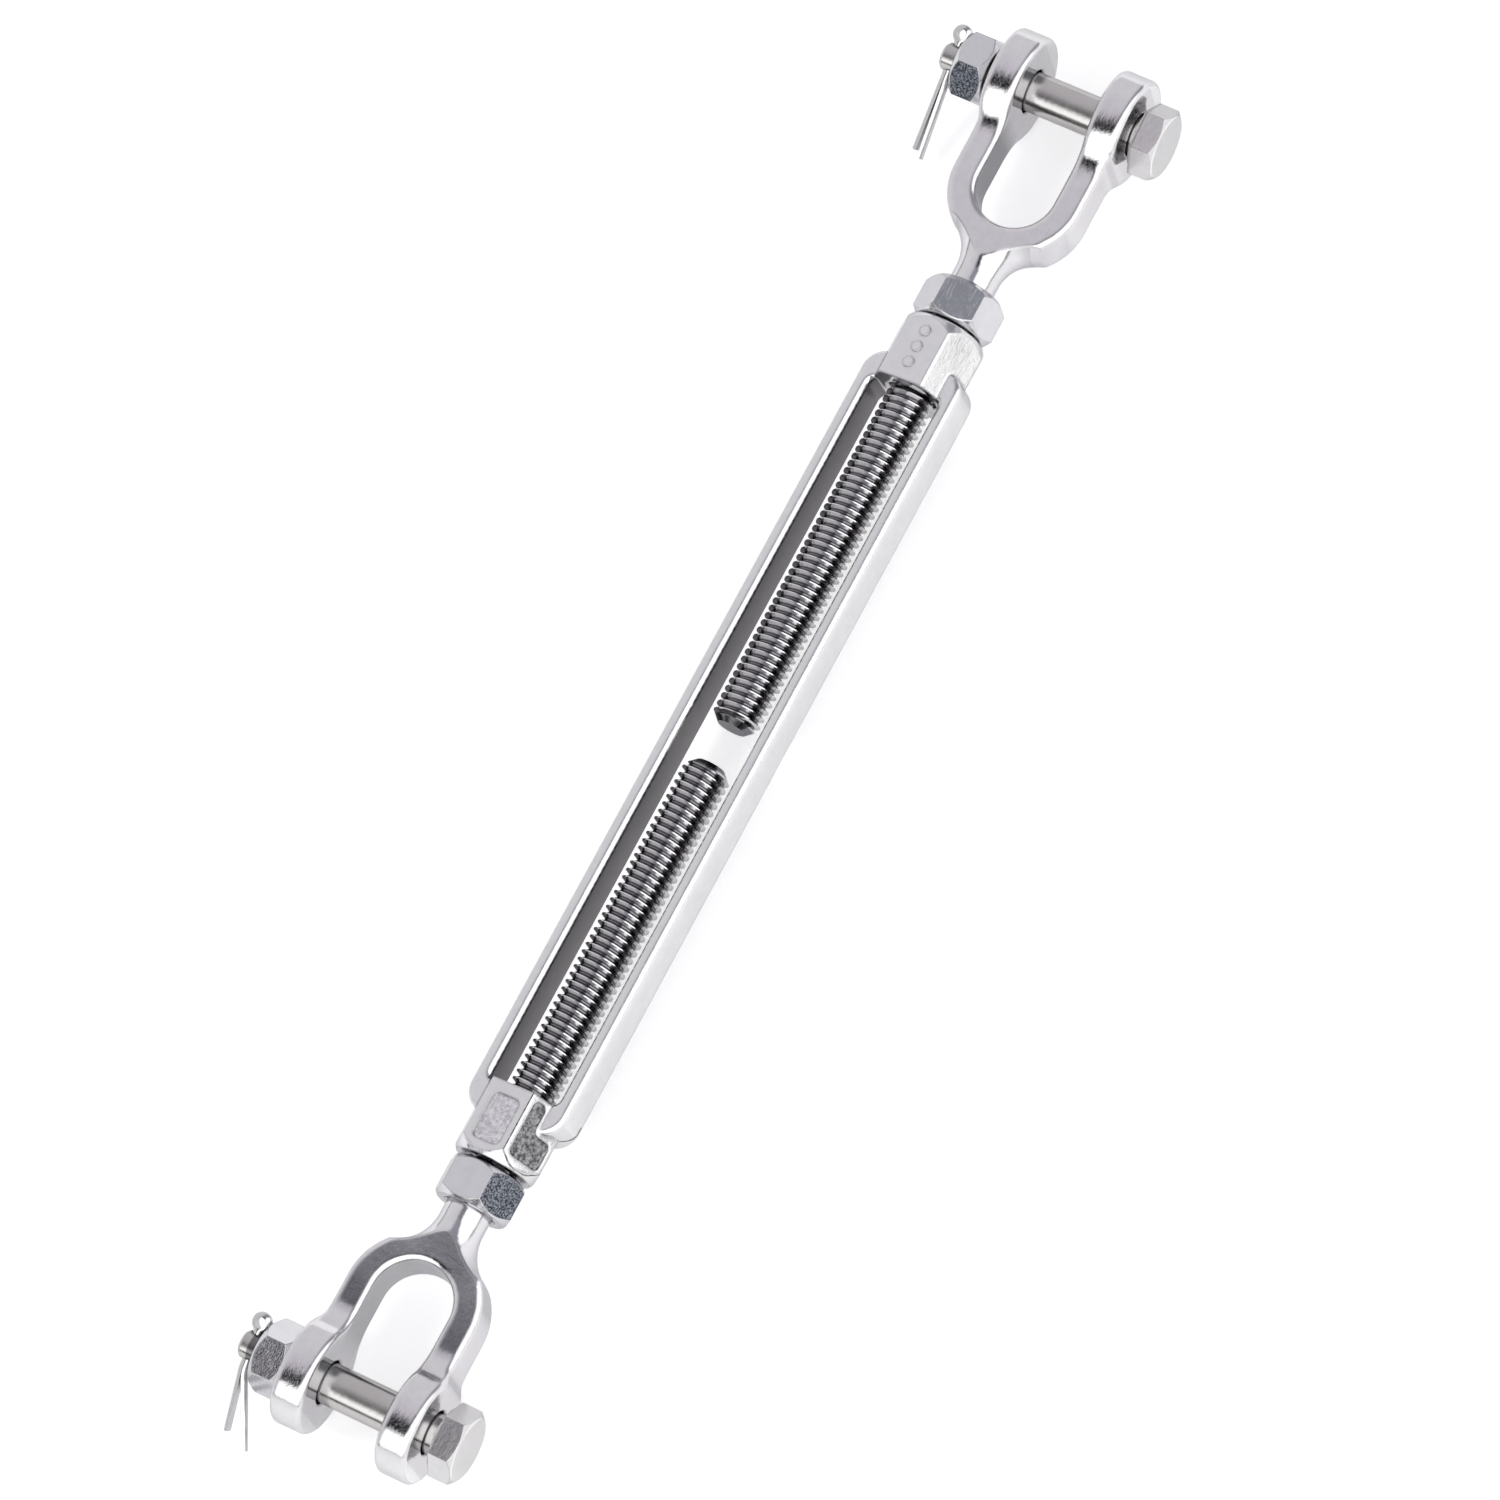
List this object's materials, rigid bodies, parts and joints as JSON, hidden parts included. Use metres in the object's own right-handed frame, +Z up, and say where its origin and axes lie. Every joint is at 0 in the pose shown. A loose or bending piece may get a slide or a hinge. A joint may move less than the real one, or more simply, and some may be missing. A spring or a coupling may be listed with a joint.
{
  "type": "rigging turnbuckle",
  "caption": "Open-body jaw-and-jaw turnbuckle in polished stainless steel: a barrel with opposite-hand threaded forks, lock nuts, and bolts held by hex nuts and split cotter pins.",
  "frame": {"origin": "on the thread axis, at the middle of the barrel's window", "axes": "+X along the thread axis towards the upper jaw, +Y along the clevis bolts towards their nuts, +Z up out of the front faces; it lies flat on the rims of its clevis ears"},
  "size_m": [0.3081, 0.0487, 0.0218],
  "materials": {
    "barrel_steel": "mirror-polished stainless steel",
    "jaw_steel": "mirror-polished stainless steel with satin ear ends",
    "lock_nut_steel": "bright stainless steel with a fine grain",
    "bolt_steel": "satin stainless steel",
    "clevis_nut_steel": "bright stainless steel",
    "cotter_wire": "drawn stainless steel wire"
  },
  "bodies": {
    "lower_jaw": {"lower_jaw": "jaw_steel"},
    "lower_lock_nut": {"lower_lock_nut": "lock_nut_steel"},
    "barrel": {"barrel": "barrel_steel"},
    "upper_lock_nut": {"upper_lock_nut": "lock_nut_steel"},
    "upper_jaw": {"upper_jaw": "jaw_steel"},
    "upper_pin_set": {"upper_clevis_bolt": "bolt_steel", "upper_clevis_nut": "clevis_nut_steel", "upper_cotter_pin": "cotter_wire"},
    "lower_pin_set": {"lower_clevis_bolt": "bolt_steel", "lower_clevis_nut": "clevis_nut_steel", "lower_cotter_pin": "cotter_wire"}
  },
  "joints": [
    {"name": "lower_take_up", "type": "slide", "parent": "lower_jaw", "child": "lower_lock_nut", "axis": [1, 0, 0], "range_m": [0, 0.0762]},
    {"name": "barrel_turn", "type": "hinge", "parent": "lower_lock_nut", "child": "barrel", "pos_m": [0, 0, 0], "axis": [-1, 0, 0], "range_deg": [0, 17280]},
    {"name": "upper_stud_turn", "type": "hinge", "parent": "barrel", "child": "upper_lock_nut", "pos_m": [0, 0, 0], "axis": [-1, 0, 0], "range_deg": [-17280, 0]},
    {"name": "upper_take_up", "type": "slide", "parent": "upper_lock_nut", "child": "upper_jaw", "axis": [1, 0, 0], "range_m": [0, 0.0762]},
    {"name": "upper_pin_turn", "type": "hinge", "parent": "upper_jaw", "child": "upper_pin_set", "pos_m": [0.141, 0, 0], "axis": [0, 1, 0], "continuous": true},
    {"name": "lower_pin_turn", "type": "hinge", "parent": "lower_jaw", "child": "lower_pin_set", "pos_m": [-0.1392, 0, 0], "axis": [0, 1, 0], "continuous": true}
  ],
  "couplings": [
    {"joint": "barrel_turn", "follows": "lower_take_up", "rad_per_m": 3957.9},
    {"joint": "upper_take_up", "follows": "lower_take_up", "ratio": 1},
    {"joint": "upper_stud_turn", "follows": "lower_take_up", "rad_per_m": -3957.9}
  ]
}
